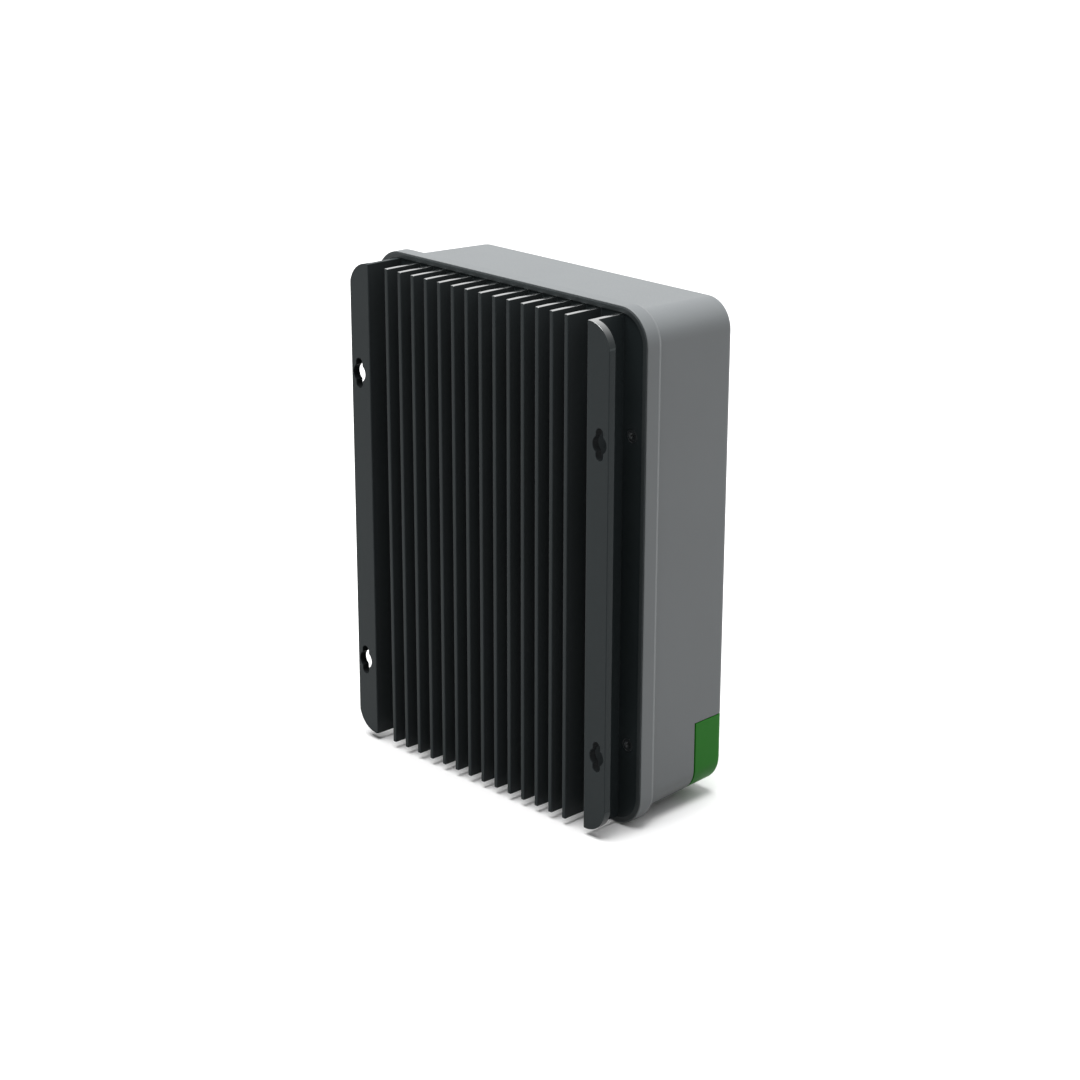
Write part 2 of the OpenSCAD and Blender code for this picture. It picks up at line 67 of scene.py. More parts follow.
def size(node):
    """A node's box in mm: x0, x1, z0, z1 and its least and greatest depth."""
    low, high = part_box(node)
    return low[0] / MM, high[0] / MM, low[2] / MM, high[2] / MM, -high[1] / MM, -low[1] / MM


# Main sizes; what the boxes of the nodes give is read from them. _R is a radius, _T a thickness, _W a width.

RIM_X0, RIM_X1, RIM_Z0, RIM_Z1, RIM_BACK, FRONT = size("housing")
RIM_R = 16
RIM_W = 2.8
RIM_EDGE = 0.15
LEDGE = 25.5
BAND_FRONT = 28
BAND_STEP = 3
BODY_R = 13
BODY_LEAN = 1.5
FRONT_R = 3
WALL = 2.6

PLATE_BACK = 19.5
PLATE_FRONT = size("heatsink")[5]
PLATE_INSET = 3
BORDER_BACK = PLATE_BACK - 0.5
BORDER_FRONT = PLATE_BACK + 1
BORDER_INSET = 0.6
LIP_BACK = BORDER_BACK + 0.3
LIP_W = 0.5
LIP_EDGE = 0.25

SINK_Z0 = RIM_Z0 + PLATE_INSET
SINK_Z1 = RIM_Z1 - PLATE_INSET
ROOT_DEEP = 1.2
FIN_COUNT = 14
FIN_PITCH = 9
FIN_T = 2.2
FLANGE_X0 = 71.2
FLANGE_X1 = 84.4
FLANGE_T = 3.8
FLANGE_R = 12
WEB_T = 2.4
KEYHOLE_X = 79
KEYHOLE_Z = 71.5
KEYHOLE_R = 4.2
SLOT_R = 2.25
SLOT_END = 7.2
KEYHOLES = [(sx * KEYHOLE_X, sz * KEYHOLE_Z) for sx in (-1, 1) for sz in (-1, 1)]
PLATE_BOSS_R = 4
PLATE_BOSS_L = 16
HEAD_BORE_R = 2.95
HEAD_DEEP = 1.3
SHANK_R = 1.65

BAY_TOP = -71
BAY_BACK = 58
PART_LINE = 0.3
GROOVE_W = 0.45
GROOVE_DEEP = 0.7
COVER_WALL = 2.2
COVER_SCREW_X = 75
COVER_SCREW_Z = -91
COVER_SCREWS = [(sx * COVER_SCREW_X, COVER_SCREW_Z) for sx in (-1, 1)]
COVER_POST_R = 4.2
COVER_POST_BACK = 45.4
COVER_HEAD_R = 3.1
COVER_HEAD_DEEP = 2.4

WIN_X0, WIN_X1, WIN_Z0, WIN_Z1, _, _ = size("display_window")
WINDOW_T = 1.2
WINDOW_GAP = 0.2
WINDOW_LAP = 2.8
PRINT_W = 8.4
FIELD_HALF_W = 27
FIELD_HALF_H = 17
KEY_COUNT = 4
KEY_PITCH = 20
KEY_Z = 6
KEY_R = 5.5
KEY_FOOT_R = 6.7
KEY_HOLE_R = 5.7
LIGHT_COUNT = 3
LIGHT_PITCH = 16
LIGHT_Z = 85
LIGHT_R = 1.8
LIGHT_HOLE_R = 1.95

POLE_COUNT = 6
CAGE_WALL = 1.4
CABLE_HOLE = 9
CABLE_EDGE = 0.6
DATA_MOUTH = (12, 8)
SENSOR_MOUTH = (6.4, 4.8)
NOSE_X0, NOSE_X1 = size("terminal_block")[:2]
NOSE_HALF = 6.8


# Flat outlines, as lists of points, run anticlockwise

def arc(cx, cz, r, start, end, steps):
    """Points of an arc between two angles in degrees."""
    angles = [math.radians(start + (end - start) * i / steps) for i in range(steps + 1)]
    return [(cx + r * math.cos(a), cz + r * math.sin(a)) for a in angles]


def rounded(x0, x1, z0, z1, r, steps=14):
    """A rectangle with round corners, from the lower right one on."""
    corners = [(x1 - r, z0 + r, -90), (x1 - r, z1 - r, 0), (x0 + r, z1 - r, 90), (x0 + r, z0 + r, 180)]
    points = []
    for x, z, start in corners:
        points += arc(x, z, r, start, start + 90, steps)
    return points


def ring(cx, cz, r, steps=48):
    """A circle."""
    return arc(cx, cz, r, 0, 360, steps)[:-1]


def inset(points, d):
    """The outline moved inward by d, or outward where d is below zero."""
    out = []
    count = len(points)
    for i, (x, z) in enumerate(points):
        ax, az = points[i - 1]
        bx, bz = points[(i + 1) % count]
        n1 = Vector((az - z, x - ax)).normalized()
        n2 = Vector((z - bz, bx - x)).normalized()
        n = (n1 + n2) / max(1 + n1.dot(n2), 0.2)
        out.append((x + n.x * d, z + n.y * d))
    return out


def flipped(points, side):
    """The outline for side 1, and its mirror image for side -1."""
    return [(side * x, z) for x, z in (points if side > 0 else reversed(points))]


def rim_ring(inward):
    """Outline of the rim, moved in by inward."""
    return rounded(RIM_X0 + inward, RIM_X1 - inward, RIM_Z0 + inward, RIM_Z1 - inward, RIM_R - inward)


def body_ring(depth, inward=0.0, radius=BODY_R):
    """Outline of the housing's leaning outer side at a depth, moved in by inward."""
    lean = BODY_LEAN * max(0.0, min(1.0, (depth - BAND_FRONT) / (FRONT - FRONT_R - BAND_FRONT)))
    d = lean + inward
    x0, x1 = RIM_X0 + BAND_STEP + d, RIM_X1 - BAND_STEP - d
    return rounded(x0, x1, RIM_Z0 + BAND_STEP + d, RIM_Z1 - BAND_STEP - d, radius)


def window_outline(inward, r):
    """Outline of the display window, moved in by inward."""
    return rounded(WIN_X0 + inward, WIN_X1 - inward, WIN_Z0 + inward, WIN_Z1 - inward, r, 4)


# Solids from outlines

def front_place(p, depth):
    """A point given across, up and by its depth in front of the wall, in mm."""
    return Vector((p[0], -depth, p[1])) * MM


def length_place(p, z):
    """A point of a section given across and by its depth, at a height, in mm."""
    return Vector((p[0], -p[1], z)) * MM


def bridge(bm, low, high):
    """Joins two rings of as many points by a band of faces."""
    count = len(low)
    for i in range(count):
        j = (i + 1) % count
        bm.faces.new((low[i], low[j], high[j], high[i]))


def cap(bm, loops):
    """Closes an outline, with holes in it, by triangles."""
    flat = [v for loop in loops for v in loop]
    for tri in tessellate_polygon([[v.co for v in loop] for loop in loops]):
        if len({flat[i] for i in tri}) == 3:
            try:
                bm.faces.new([flat[i] for i in tri])
            except ValueError:
                pass


def rounding(edge, steps):
    """Steps of a quarter circle as (inset, distance from the face)."""
    turns = [math.pi / 2 * i / steps for i in range(steps + 1)]
    return [(edge * (1 - math.cos(t)), edge * (1 - math.sin(t))) for t in turns]


def levels(low, high, edge, steps):
    """(inset, height) of the layers of a slab with rounded edges."""
    turn = rounding(edge, steps)
    return [(i, low + h) for i, h in reversed(turn)] + [(i, high - h) for i, h in turn]


def slab(bm, outer, low, high, edge, holes=(), place=front_place):
    """A plate with bevelled edges, also round its holes."""
    layers = [
        [[bm.verts.new(place(p, h)) for p in inset(outer, i)]]
        + [[bm.verts.new(place(p, h)) for p in inset(hole, -i)] for hole in holes]
        for i, h in levels(low, high, edge, 1)
    ]
    for a, b in zip(layers, layers[1:]):
        for low_ring, high_ring in zip(a, b):
            bridge(bm, low_ring, high_ring)
    cap(bm, layers[0])
    cap(bm, layers[-1])


def loft(bm, rings):
    """A closed skin through rings of (depth, outline)."""
    loops = [[bm.verts.new(front_place(p, depth)) for p in outline] for depth, outline in rings]
    for a, b in zip(loops, loops[1:]):
        bridge(bm, a, b)
    cap(bm, [loops[0]])
    cap(bm, [loops[-1]])


def prism(bm, outline, low, high):
    """An outline pulled straight from one depth to another."""
    loft(bm, [(low, outline), (high, outline)])


def block(bm, x0, x1, z0, z1, low, high):
    """A plain box, used only to cut with."""
    prism(bm, [(x1, z0), (x1, z1), (x0, z1), (x0, z0)], low, high)


def lathe(bm, cx, cz, profile, steps=40):
    """A turned solid about a line along the depth, through (radius, depth) pairs."""
    loops = []
    for r, depth in profile:
        if r < 1e-4:
            loops.append([bm.verts.new(front_place((cx, cz), depth))])
        else:
            loops.append([bm.verts.new(front_place(p, depth)) for p in ring(cx, cz, r, steps)])
    for a, b in zip(loops, loops[1:]):
        if len(a) == len(b):
            bridge(bm, a, b)
            continue
        point, wheel = (a[0], b) if len(a) == 1 else (b[0], a)
        for i in range(steps):
            bm.faces.new((point, wheel[i], wheel[(i + 1) % steps]))
    for end in (loops[0], loops[-1]):
        if len(end) > 1:
            cap(bm, [end])


def turned(places, profile):
    """A building function for the same turned solid at several places."""
    return lambda bm: [lathe(bm, x, z, profile) for x, z in places]


# Objects from solids; the angles are in degrees

SMOOTH_BELOW = 38
SHARP_FROM = 50
WELD = 0.004 * MM
CLOSE_WELD = 0.0005 * MM
NEAR = 0.05
AT_FRONT = FRONT - 0.02


def shade(obj):
    """Smooth faces with sharp edges kept, and normals that follow the larger faces."""
    mesh = obj.data
    mesh.polygons.foreach_set("use_smooth", [True] * len(mesh.polygons))
    mesh.set_sharp_from_angle(angle=math.radians(SMOOTH_BELOW))
    if "normals" not in obj.modifiers:
        weigh = obj.modifiers.new("normals", "WEIGHTED_NORMAL")
        weigh.keep_sharp = True
        weigh.weight = 100


def finished(bm, name):
    """The object made from bm."""
    bmesh.ops.recalc_face_normals(bm, faces=bm.faces)
    mesh = bpy.data.meshes.new(name)
    bm.to_mesh(mesh)
    bm.free()
    obj = bpy.data.objects.new(name, mesh)
    scene.collection.objects.link(obj)
    shade(obj)
    return obj


def made(build):
    """The object that a building function fills."""
    bm = bmesh.new()
    build(bm)
    return finished(bm, "tool")


def combine(obj, other, how):
    """Cuts obj by other, joins it to other or keeps what both share. The other one goes."""
    obj.modifiers.clear()
    step = obj.modifiers.new("step", "BOOLEAN")
    step.operation = how
    step.solver = "EXACT"
    step.object = other
    step.use_self = how == "UNION"
    bpy.context.view_layer.update()
    mesh = bpy.data.meshes.new_from_object(obj.evaluated_get(bpy.context.evaluated_depsgraph_get()))
    obj.modifiers.clear()
    obj.data = mesh
    bpy.data.objects.remove(other)
    bm = bmesh.new()
    bm.from_mesh(mesh)
    bmesh.ops.remove_doubles(bm, verts=bm.verts, dist=WELD)
    bmesh.ops.dissolve_degenerate(bm, edges=bm.edges, dist=WELD)
    bm.to_mesh(mesh)
    bm.free()
    shade(obj)
    return obj


def cut(obj, build):
    """Takes what a building function makes out of obj."""
    return combine(obj, made(build), "DIFFERENCE")


def join(objects):
    """One object of several, each kept as its own closed shell."""
    bm = bmesh.new()
    for o in objects:
        bm.from_mesh(o.data)
        bpy.data.objects.remove(o)
    return finished(bm, "joined")


def soften(obj, pick, width, steps):
    """Rounds the sharp edges whose middle, in mm, pick accepts."""
    bm = bmesh.new()
    bm.from_mesh(obj.data)
    chosen = []
    for e in bm.edges:
        if len(e.link_faces) != 2 or e.calc_face_angle(0) < math.radians(SHARP_FROM):
            continue
        if pick((e.verts[0].co + e.verts[1].co) / 2 / MM):
            chosen.append(e)
    bmesh.ops.bevel(bm, geom=chosen, offset=width * MM, segments=steps, profile=0.5, affect="EDGES",
                    clamp_overlap=False)
    bmesh.ops.remove_doubles(bm, verts=bm.verts, dist=CLOSE_WELD)
    bm.to_mesh(obj.data)
    bm.free()
    shade(obj)


# Materials, worked out in the object's own space

def math_node(tree, operation, *values):
    """The result of a Math node on numbers and other nodes' outputs."""
    node = tree.nodes.new("ShaderNodeMath")
    node.operation = operation
    for socket, value in zip(node.inputs, values):
        if isinstance(value, bpy.types.NodeSocket):
            tree.links.new(value, socket)
        else:
            socket.default_value = value
    return node.outputs[0]


def mix_node(tree, factor, a, b):
    """The mix of two colours, each given as (r, g, b) or as another node's output."""
    node = tree.nodes.new("ShaderNodeMix")
    node.data_type = "RGBA"
    for name, value in (("A", a), ("B", b)):
        if isinstance(value, bpy.types.NodeSocket):
            tree.links.new(value, node.inputs[name])
        else:
            node.inputs[name].default_value = (*value, 1)
    tree.links.new(factor, node.inputs["Factor"])
    return node.outputs["Result"]


def material(name, color, rough, vary=0.06, blotch=18, streak=(1, 1, 1), grain=1500, rough_by=0.05, bump=0.15,
             bump_deep=0.02, metallic=0, specular=0.5, glass=0, coat=0):
    """A node material: colour varied by soft noise, roughness by fine noise, and grain as bump."""
    m = bpy.data.materials.new(name)
    m.use_nodes = True
    tree = m.node_tree
    shader = tree.nodes["Principled BSDF"]
    place = tree.nodes.new("ShaderNodeTexCoord").outputs["Object"]

    def noise(scale, detail, around=(1, 1, 1)):
        """Noise of a size, stretched where around is small."""
        mapping = tree.nodes.new("ShaderNodeMapping")
        mapping.inputs["Scale"].default_value = around
        tree.links.new(place, mapping.inputs["Vector"])
        node = tree.nodes.new("ShaderNodeTexNoise")
        node.inputs["Scale"].default_value = scale
        node.inputs["Detail"].default_value = detail
        tree.links.new(mapping.outputs["Vector"], node.inputs["Vector"])
        return node.outputs["Fac"]

    def span(value, low, high):
        """The middle of the noise's range spread from low to high."""
        node = tree.nodes.new("ShaderNodeMapRange")
        limits = {"From Min": 0.3, "From Max": 0.7, "To Min": low, "To Max": high}
        for limit, number in limits.items():
            node.inputs[limit].default_value = number
        tree.links.new(value, node.inputs["Value"])
        return node.outputs["Result"]

    darker = [c * (1 - vary) for c in color]
    lighter = [min(1, c * (1 + vary)) for c in color]
    tone = mix_node(tree, span(noise(blotch, 3), 0, 1), darker, lighter)
    tree.links.new(tone, shader.inputs["Base Color"])
    fine = noise(grain, 2, streak)
    shader.inputs["Roughness"].default_value = rough
    if rough_by:
        tree.links.new(span(fine, rough - rough_by, rough + rough_by), shader.inputs["Roughness"])
    if bump:
        relief = tree.nodes.new("ShaderNodeBump")
        relief.inputs["Strength"].default_value = bump
        relief.inputs["Distance"].default_value = bump_deep * MM
        tree.links.new(fine, relief.inputs["Height"])
        tree.links.new(relief.outputs["Normal"], shader.inputs["Normal"])
    shader.inputs["Metallic"].default_value = metallic
    shader.inputs["Specular IOR Level"].default_value = specular
    if glass:
        shader.inputs["Transmission Weight"].default_value = glass
        shader.inputs["IOR"].default_value = 1.49
    if coat:
        shader.inputs["Coat Weight"].default_value = coat
        shader.inputs["Coat Roughness"].default_value = 0.08
    return m


def recolour(m, output, paint):
    """Gives a material the colour that paint makes of its own colour and of a coordinate output's parts."""
    tree = m.node_tree
    base = tree.nodes["Principled BSDF"].inputs["Base Color"]
    own = base.links[0].from_socket
    split = tree.nodes.new("ShaderNodeSeparateXYZ")
    tree.links.new(tree.nodes["Texture Coordinate"].outputs[output], split.inputs["Vector"])
    tree.links.new(paint(tree, own, split.outputs), base)
    return m


def painted_turn_shade(tree, own, normal):
    """Painted shade: the own bright colour where the surface faces up or down, fading to near black as it
    turns aside, so a round corner darkens as the light on it falls off.
    """
    up = math_node(tree, "POWER", math_node(tree, "ABSOLUTE", normal["Z"]), 4)
    return mix_node(tree, up, (0.035, 0.04, 0.041), own)


def by_field(tree, own, place):
    """The display's own colour in its middle, and a black printed border round it."""
    low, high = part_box("display_panel")
    centre = low.lerp(high, 0.5)

    def beyond(axis, middle, half):
        """1 further than half from a middle line, else 0."""
        off = math_node(tree, "ABSOLUTE", math_node(tree, "SUBTRACT", place[axis], middle))
        return math_node(tree, "GREATER_THAN", off, half)

    beside = beyond("X", centre.x, FIELD_HALF_W * MM)
    above_or_below = beyond("Z", centre.z, FIELD_HALF_H * MM)
    outside = math_node(tree, "MAXIMUM", beside, above_or_below)
    return mix_node(tree, outside, own, (0.008, 0.008, 0.009))


ANODISED = material("black_anodised", (0.026, 0.033, 0.035), 0.36, streak=(1, 1, 0.02), grain=2600, bump=0.12,
                    vary=0.05, specular=0.13)
# Painted light: a lighter copy of the anodised finish for the fin walls, against the shade between the fins.
FIN_SIDE_PAINTED_LIGHT = material("anodised_fin_side_painted_light", (0.038, 0.044, 0.046), 0.38, streak=(1, 1, 0.02), grain=2600,
                    bump=0.12, vary=0.05, specular=0.16)
# Painted light: a lighter copy of the anodised finish for the plate's raised border, standing in for the
# light its back face catches.
BORDER_PAINTED_LIGHT = material("anodised_border_painted_light", (0.048, 0.056, 0.058), 0.4, grain=2600, bump=0.12, vary=0.05,
                  specular=0.2)
# Painted shade: a darker copy of the anodised finish for the keyholes' walls.
KEYHOLE_SHADE = material("keyhole_wall_painted_shade", (0.012, 0.014, 0.015), 0.5, streak=(1, 0.05, 1), grain=2200, bump=0.2,
                specular=0.08)
CUT_RING = material("countersink", (0.3, 0.3, 0.31), 0.3, metallic=1, grain=2600, bump=0.05)
MILLED = material("machined_end_painted_shade", (0.55, 0.56, 0.56), 0.09, streak=(0.05, 1, 1), grain=2400, bump=0.05,
                  rough_by=0.03, metallic=1)
# The bare cut end is real; its fading to near black as the surface turns aside is painted shade.
MACHINED_WITH_PAINTED_SHADE = recolour(MILLED, "Normal", painted_turn_shade)
GREY = material("grey_plastic", (0.176, 0.188, 0.194), 0.42, grain=2300, bump=0.25, bump_deep=0.03,
                vary=0.025, specular=0.37)
GREEN = material("green_plastic", (0.027, 0.205, 0.021), 0.42, grain=2300, bump=0.2, bump_deep=0.03,
                 vary=0.03, specular=0.09)
RUBBER = material("seal_rubber", (0.018, 0.018, 0.019), 0.7, grain=1800, bump=0.3)
PAD = material("pad_rubber", (0.33, 0.36, 0.38), 0.62, grain=1400, bump=0.2)
ZINC = material("zinc_steel", (0.62, 0.63, 0.64), 0.28, metallic=1, grain=3000, bump=0.06, vary=0.08)
DARK_STEEL = material("dark_steel", (0.03, 0.034, 0.036), 0.36, grain=3000, bump=0.08, vary=0.1, specular=0.3)
BOARD = material("board_laminate", (0.012, 0.11, 0.045), 0.33, grain=500, bump=0.1, vary=0.18, blotch=260)
BRASS = material("brass", (0.66, 0.47, 0.19), 0.25, metallic=1, streak=(1, 0.05, 1), grain=2500, bump=0.06)
NYLON = material("black_nylon", (0.022, 0.022, 0.023), 0.48, grain=2000, bump=0.2)
CLAMP = material("clamp_metal", (0.66, 0.64, 0.57), 0.3, metallic=1, grain=1800, bump=0.08, vary=0.08)
EPOXY = material("component_black", (0.02, 0.02, 0.022), 0.5, grain=1900, bump=0.25)
COPPER = material("coil_copper", (0.48, 0.2, 0.07), 0.32, streak=(1, 0.04, 1), grain=900, bump=0.6, vary=0.15,
                  coat=0.4)
SLEEVE = material("capacitor_sleeve", (0.02, 0.03, 0.13), 0.3, grain=700, bump=0.06, vary=0.08)
KEY = material("key_plastic", (0.045, 0.047, 0.05), 0.44, grain=2400, bump=0.2)
WINDOW = material("window_clear", (0.93, 0.95, 0.95), 0.0, glass=1.0, bump=0, rough_by=0, vary=0.01)
PRINT = material("window_print", (0.009, 0.009, 0.01), 0.12, grain=1600, bump=0.02, rough_by=0.03,
                 specular=0.4)
LIGHT = material("light_clear", (0.5, 0.54, 0.51), 0.22, grain=1500, bump=0.03, vary=0.03, coat=0.6)
PANEL = material("display_glass", (0.19, 0.235, 0.165), 0.35, grain=1200, bump=0, rough_by=0.02, vary=0.03)
DISPLAY = recolour(PANEL, "Object", by_field)
BY_SLOT = {
    "black_anodised_aluminium": ANODISED, "grey_plastic": GREY, "green_plastic": GREEN, "seal_rubber": RUBBER,
    "pad_rubber": PAD, "zinc_steel": ZINC, "dark_steel": DARK_STEEL, "board_laminate": BOARD, "brass": BRASS,
    "black_nylon": NYLON, "clamp_metal": CLAMP, "component_black": EPOXY, "coil_copper": COPPER,
    "capacitor_sleeve": SLEEVE, "key_plastic": KEY, "display_glass": DISPLAY, "window_clear": WINDOW,
    "light_clear": LIGHT,
}
for part in frame["record"]["subparts"]:
    mesh = nodes[part["node"]].data
    mesh.materials.clear()
    mesh.materials.append(BY_SLOT[part["material_slot"]])


def dress(obj, name, body, slot, replaced, *extra):
    """Names a piece, gives it its materials and body, and hides the nodes that it stands for."""
    obj.name = name
    obj.data.name = name
    obj.data.materials.clear()
    for m in (BY_SLOT[slot], *extra):
        obj.data.materials.append(m)
    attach(obj, body)
    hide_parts(*replaced)


# Heatsink: fins, plate and two flanges

def fin_section(x):
    """A fin with a rounded tip and a small root radius."""
    half, tip, root = FIN_T / 2, 0.45, 0.7
    tip_points = arc(x + half - tip, tip, tip, 0, -90, 4) + arc(x - half + tip, tip, tip, -90, -180, 4)
    left = arc(x - half - root, PLATE_BACK - root, root, 0, 90, 4)
    right = arc(x + half + root, PLATE_BACK - root, root, 90, 180, 4)
    sunk = [(x - half - root, PLATE_BACK + ROOT_DEEP), (x + half + root, PLATE_BACK + ROOT_DEEP)]
    return tip_points + left + sunk + right


def build_fins(bm):
    """The row of fins, each sunk a little into the plate."""
    for i in range(FIN_COUNT):
        section = list(reversed(fin_section((i - (FIN_COUNT - 1) / 2) * FIN_PITCH)))
        slab(bm, section, SINK_Z0, SINK_Z1, 0.08, place=length_place)


def build_plate(bm):
    """The plate, with the raised border that lies over the housing's rim."""
    turn, outer_turn, bevel = rounding(0.15, 2), rounding(0.3, 3), 0.2
    rings = [(PLATE_BACK, rim_ring(RIM_W))]
    rings += [(BORDER_BACK + h, rim_ring(RIM_W - i)) for i, h in turn]
    rings += [(BORDER_BACK + h, rim_ring(BORDER_INSET + i)) for i, h in reversed(outer_turn)]
    rings += [(BORDER_FRONT - h, rim_ring(BORDER_INSET + i)) for i, h in turn]
    rings += [(BORDER_FRONT, rim_ring(PLATE_INSET)), (PLATE_FRONT - bevel, rim_ring(PLATE_INSET)),
              (PLATE_FRONT, rim_ring(PLATE_INSET + bevel))]
    loft(bm, rings)


def flange_section(side):
    """L-shaped section of a flange and its web, with the extrusion's small radii."""
    edge, foot, corner = 0.4, 0.5, 1
    web_x1 = FLANGE_X0 + WEB_T
    points = (
        arc(FLANGE_X1 - edge, edge, edge, -90, 0, 3)
        + arc(FLANGE_X1 - edge, FLANGE_T - edge, edge, 0, 90, 3)
        + arc(web_x1 + corner, FLANGE_T + corner, corner, -90, -180, 4)
        + [(web_x1, PLATE_BACK + ROOT_DEEP), (FLANGE_X0, PLATE_BACK + ROOT_DEEP)]
        + arc(FLANGE_X0 + foot, foot, foot, 180, 270, 3)
    )
    return flipped(points, side)


def flange_plan(side):
    """Front outline that cuts a flange's outer corners round and stays clear of its long outer face."""
    out, inner, clear, r = FLANGE_X1 + 0.02, FLANGE_X0 - 1, 1, FLANGE_R
    points = (
        arc(out - r, SINK_Z0 + r, r, -90, 0, 20)
        + [(out + clear, SINK_Z0 + r + 0.1), (out + clear, SINK_Z1 - r - 0.1)]
        + arc(out - r, SINK_Z1 - r, r, 0, 90, 20)
        + [(inner, SINK_Z1), (inner, SINK_Z0)]
    )
    return flipped(points, side)


def keyhole(cx, cz):
    """A keyhole: a round middle with a slot above and below."""
    reach = SLOT_END - SLOT_R
    meet = math.degrees(math.asin(SLOT_R / KEYHOLE_R))
    points = arc(cx, cz, KEYHOLE_R, -90 + meet, 90 - meet, 18)
    points += arc(cx, cz + reach, SLOT_R, 0, 180, 12)
    points += arc(cx, cz, KEYHOLE_R, 90 + meet, 270 - meet, 18)
    points += arc(cx, cz - reach, SLOT_R, 180, 360, 12)
    return points


def flange(side):
    """A flange: the section pulled past both ends, cut to the plan, with its keyholes and small radii."""

    def build_length(bm):
        slab(bm, flange_section(side), SINK_Z0 - 2, SINK_Z1 + 2, 0.1, place=length_place)

    def build_plan(bm):
        slab(bm, flange_plan(side), -5, PLATE_BACK + 5, 0.01)

    def build_keyholes(bm):
        for x, z in KEYHOLES:
            if x * side > 0:
                prism(bm, keyhole(x, z), -3, 8)

    body = cut(combine(made(build_length), made(build_plan), "INTERSECT"), build_keyholes)
    soften(body, lambda p: -PLATE_BACK < p.y and abs(p.x) < FLANGE_X1 - 0.6, 0.18, 2)
    return body


screw_holes = turned(KEYHOLES, [(HEAD_BORE_R, PLATE_BACK - 1), (HEAD_BORE_R, PLATE_BACK),
                                (SHANK_R, PLATE_BACK + HEAD_DEEP), (SHANK_R, PLATE_FRONT + 1)])
plate = cut(made(build_plate), screw_holes)
heatsink = join([made(build_fins), plate, flange(1), flange(-1)])
# Finishes of the heatsink, with lighter and darker copies of the anodised one that are painted light and
# painted shade.
HEATSINK_MATERIALS = [ANODISED, MACHINED_WITH_PAINTED_SHADE, BORDER_PAINTED_LIGHT, KEYHOLE_SHADE, CUT_RING, FIN_SIDE_PAINTED_LIGHT]
dress(heatsink, "heatsink_shell", "controller", "black_anodised_aluminium", ["heatsink"], *HEATSINK_MATERIALS[1:])


def from_rim(x, z):
    """How far a point, given without its sign across, lies inside the rim's outline."""
    over_x = x - RIM_X1 + RIM_R
    over_z = abs(z - (RIM_Z0 + RIM_Z1) / 2) - (RIM_Z1 - RIM_Z0) / 2 + RIM_R
    return RIM_R - math.hypot(max(over_x, 0), max(over_z, 0)) - min(max(over_x, over_z), 0)


def heatsink_material_of(face):
    """The material of a face of the heatsink: its finishes, and the lighter and darker copies of the anodised
    one that are painted light and painted shade. Bright ends are on the fins and on the flange at lower X.
    """
    x, depth, z = abs(face.center.x) / MM, -face.center.y / MM, face.center.z / MM
    across, forward, up = (abs(v) for v in face.normal)
    to_end = min(abs(z - SINK_Z1), abs(z - SINK_Z0))
    to_hole = math.hypot(x - KEYHOLE_X, abs(z) - KEYHOLE_Z)
    on_flange = depth < FLANGE_T + 0.2
    on_corner = on_flange and x > FLANGE_X0 + 1.8 and to_end < FLANGE_R + 0.5 and forward < 0.5
    has_bright_end = face.center.x < (FLANGE_X0 - 1.2) * MM
    # Bare cut ends, whose material darkens by facing as painted shade.
    if depth < BORDER_BACK and up > 0.1 and (to_end < 0.5 or on_corner) and has_bright_end:
        return MACHINED_WITH_PAINTED_SHADE
    # Painted shade: the keyholes' walls get the darker copy of the anodised finish.
    if on_flange and to_hole < SLOT_END + 0.1 and forward < 0.3:
        return KEYHOLE_SHADE
    if PLATE_BACK - 0.1 < depth < PLATE_BACK + HEAD_DEEP + 0.1 and to_hole < HEAD_BORE_R + 0.05:
        return CUT_RING
    # Painted light: the fin walls get the lighter copy of the anodised finish.
    if x < FLANGE_X0 + 0.3 and 0.6 < depth < PLATE_BACK and across > 0.9:
        return FIN_SIDE_PAINTED_LIGHT
    # Painted light: the raised border gets the lighter copy of the anodised finish.
    on_border = BORDER_BACK - 0.1 < depth < BORDER_FRONT + 0.1 and from_rim(x, z) < RIM_W - 0.05
    return BORDER_PAINTED_LIGHT if on_border else ANODISED


def on_outer_turn(face):
    """On the last part of a flange's round corner, where it meets the long edge's small radius."""
    return abs(face.center.x) > (FLANGE_X1 - 0.8) * MM and abs(face.normal.y) < 0.05


for face in heatsink.data.polygons:
    face.material_index = HEATSINK_MATERIALS.index(heatsink_material_of(face))
    face.use_smooth = not on_outer_turn(face)


# Housing: rim and band round the plate, leaning sides and a rounded front edge

def front_turn():
    """Rings over the rounded front edge."""
    return [(FRONT - h, body_ring(FRONT - FRONT_R, i)) for i, h in rounding(FRONT_R, 6)]


def build_outer(bm):
    """The outside, from the ledge over the thin lip that edges the plate's border to the front."""
    band_edge = [(0, 2), (0.06, 1.7), (0.56, 0.3), (0.75, 0.08), (1, 0)]
    rings = [(LEDGE, rim_ring(RIM_W)), (RIM_BACK + RIM_EDGE, rim_ring(RIM_W))]
    rings += [(RIM_BACK, rim_ring(RIM_W - RIM_EDGE)), (RIM_BACK, rim_ring(LIP_W))]
    rings += [(LIP_BACK + 0.05, rim_ring(LIP_W)), (LIP_BACK, rim_ring(LIP_W - 0.05))]
    rings += [(LIP_BACK + h, rim_ring(i)) for i, h in reversed(rounding(LIP_EDGE, 4))]
    rings += [(BAND_FRONT - h, rim_ring(i)) for i, h in band_edge]
    rings += [(BAND_FRONT, rim_ring(BAND_STEP - 0.35)), (BAND_FRONT + 0.12, rim_ring(BAND_STEP - 0.12)),
              (BAND_FRONT + 0.5, body_ring(BAND_FRONT + 0.5))]
    loft(bm, rings + front_turn())


